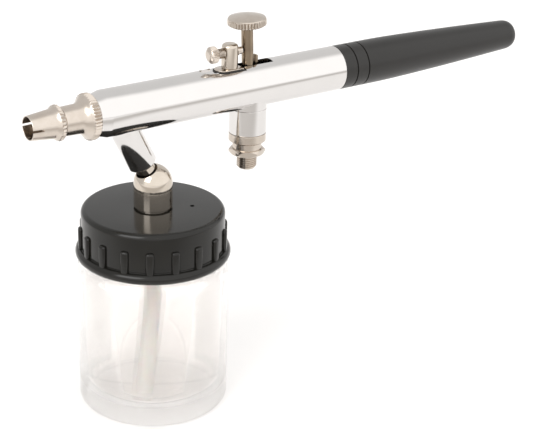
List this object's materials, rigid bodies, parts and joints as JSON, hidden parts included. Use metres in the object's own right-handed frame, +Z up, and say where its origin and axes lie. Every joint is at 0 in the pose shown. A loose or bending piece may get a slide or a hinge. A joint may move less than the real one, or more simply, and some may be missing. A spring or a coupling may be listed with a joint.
{
  "type": "airbrush gun",
  "caption": "Siphon-feed double-action airbrush: slim chrome body, split needle cap, domed trigger, air valve and black handle on a ball-jointed glass jar.",
  "frame": {"origin": "centre of the jar's flat underside, on the table", "axes": "+Z up along the jar's axis, +X along the gun towards the handle's tail, nozzle at -X, -Y the user's left"},
  "size_m": [0.145, 0.0376, 0.0948],
  "materials": {
    "glass": "clear moulded glass",
    "cap_plastic": "moulded black plastic, half gloss",
    "liner_foam": "soft sealing foam",
    "nickel": "satin nickel plate",
    "dark_nickel": "nickel plate, lightly turned",
    "chrome": "polished chrome plate",
    "tube_plastic": "milky soft plastic",
    "seal_plastic": "white sealing plastic",
    "seal_rubber": "black rubber",
    "brass": "turned brass",
    "steel": "ground steel",
    "handle_black": "black satin plastic"
  },
  "bodies": {
    "jar": {"jar": "glass"},
    "liner": {"cap_liner": "liner_foam"},
    "cap": {"jar_cap": "cap_plastic", "socket_base": "nickel", "socket_dome": "nickel", "ball_seat": "seal_plastic", "socket_nut": "nickel", "siphon_tube": "tube_plastic"},
    "swivel_pin": {"siphon_pin": "nickel"},
    "gun": {"siphon_stem": "chrome", "body_shell": "chrome", "packing_ring": "seal_plastic", "packing_screw": "brass", "nozzle_seal": "seal_plastic", "fluid_nozzle": "brass", "head_cap": "nickel", "valve_casing": "chrome", "hose_adapter": "nickel", "valve_spring": "steel", "valve_seal": "seal_rubber", "saddle_plate": "dark_nickel", "limiter_post": "dark_nickel", "needle_spring": "steel", "spring_case": "nickel"},
    "needle_cap": {"needle_cap": "nickel"},
    "valve_plunger": {"valve_plunger": "nickel"},
    "trigger": {"trigger": "dark_nickel", "trigger_button": "nickel"},
    "needle_unit": {"needle": "steel", "needle_guide": "nickel", "chuck_nut": "nickel", "lever_pin": "steel"},
    "back_lever": {"back_lever": "dark_nickel"},
    "limiter_screw": {"limiter_screw": "nickel"},
    "handle": {"handle": "handle_black"}
  },
  "joints": [
    {"name": "cap_lift", "type": "slide", "parent": "jar", "child": "liner", "axis": [0, 0, 1], "range_m": [0, 0.003]},
    {"name": "cap_turn", "type": "hinge", "parent": "liner", "child": "cap", "pos_m": [0, 0, 0.045], "axis": [0, 0, 1], "range_deg": [0, 360.1]},
    {"name": "jar_tilt", "type": "hinge", "parent": "cap", "child": "swivel_pin", "pos_m": [0, 0, 0.057], "axis": [0, 1, 0], "range_deg": [-5, 5]},
    {"name": "gun_swivel", "type": "hinge", "parent": "swivel_pin", "child": "gun", "pos_m": [0, 0, 0.057], "axis": [-0.4602, 0, 0.8878], "range_deg": [-90, 90]},
    {"name": "needle_cap_off", "type": "slide", "parent": "gun", "child": "needle_cap", "axis": [-1, 0, 0], "range_m": [0, 0.008]},
    {"name": "air_press", "type": "slide", "parent": "gun", "child": "valve_plunger", "axis": [0, 0, -1], "range_m": [0, 0.0015], "stiffness_N_per_m": 400, "springref_m": -0.002, "deforming": ["valve_spring"]},
    {"name": "trigger_pull", "type": "hinge", "parent": "valve_plunger", "child": "trigger", "pos_m": [0.02705, 0, 0.073], "axis": [0, 1, 0], "range_deg": [0, 16.1], "stiffness_Nm_per_rad": 0.02, "springref_deg": -17.19},
    {"name": "needle_draw", "type": "slide", "parent": "gun", "child": "needle_unit", "axis": [1, 0, 0], "range_m": [0, 0.0032], "deforming": ["needle_spring"]},
    {"name": "lever_tilt", "type": "hinge", "parent": "needle_unit", "child": "back_lever", "pos_m": [0.0362, 0, 0.079], "axis": [0, 1, 0], "range_deg": [0, 5]},
    {"name": "limiter_set", "type": "slide", "parent": "gun", "child": "limiter_screw", "axis": [-1, 0, 0], "range_m": [0, 0.002]},
    {"name": "handle_turn", "type": "hinge", "parent": "gun", "child": "handle", "pos_m": [0.06, 0, 0.0769], "axis": [1, 0, 0], "range_deg": [0, 360]}
  ],
  "couplings": [
    {"joint": "cap_turn", "follows": "cap_lift", "rad_per_m": 2094.4},
    {"joint": "trigger_pull", "follows": "needle_draw", "rad_per_m": 87.266},
    {"joint": "lever_tilt", "follows": "needle_draw", "rad_per_m": 26.18}
  ]
}
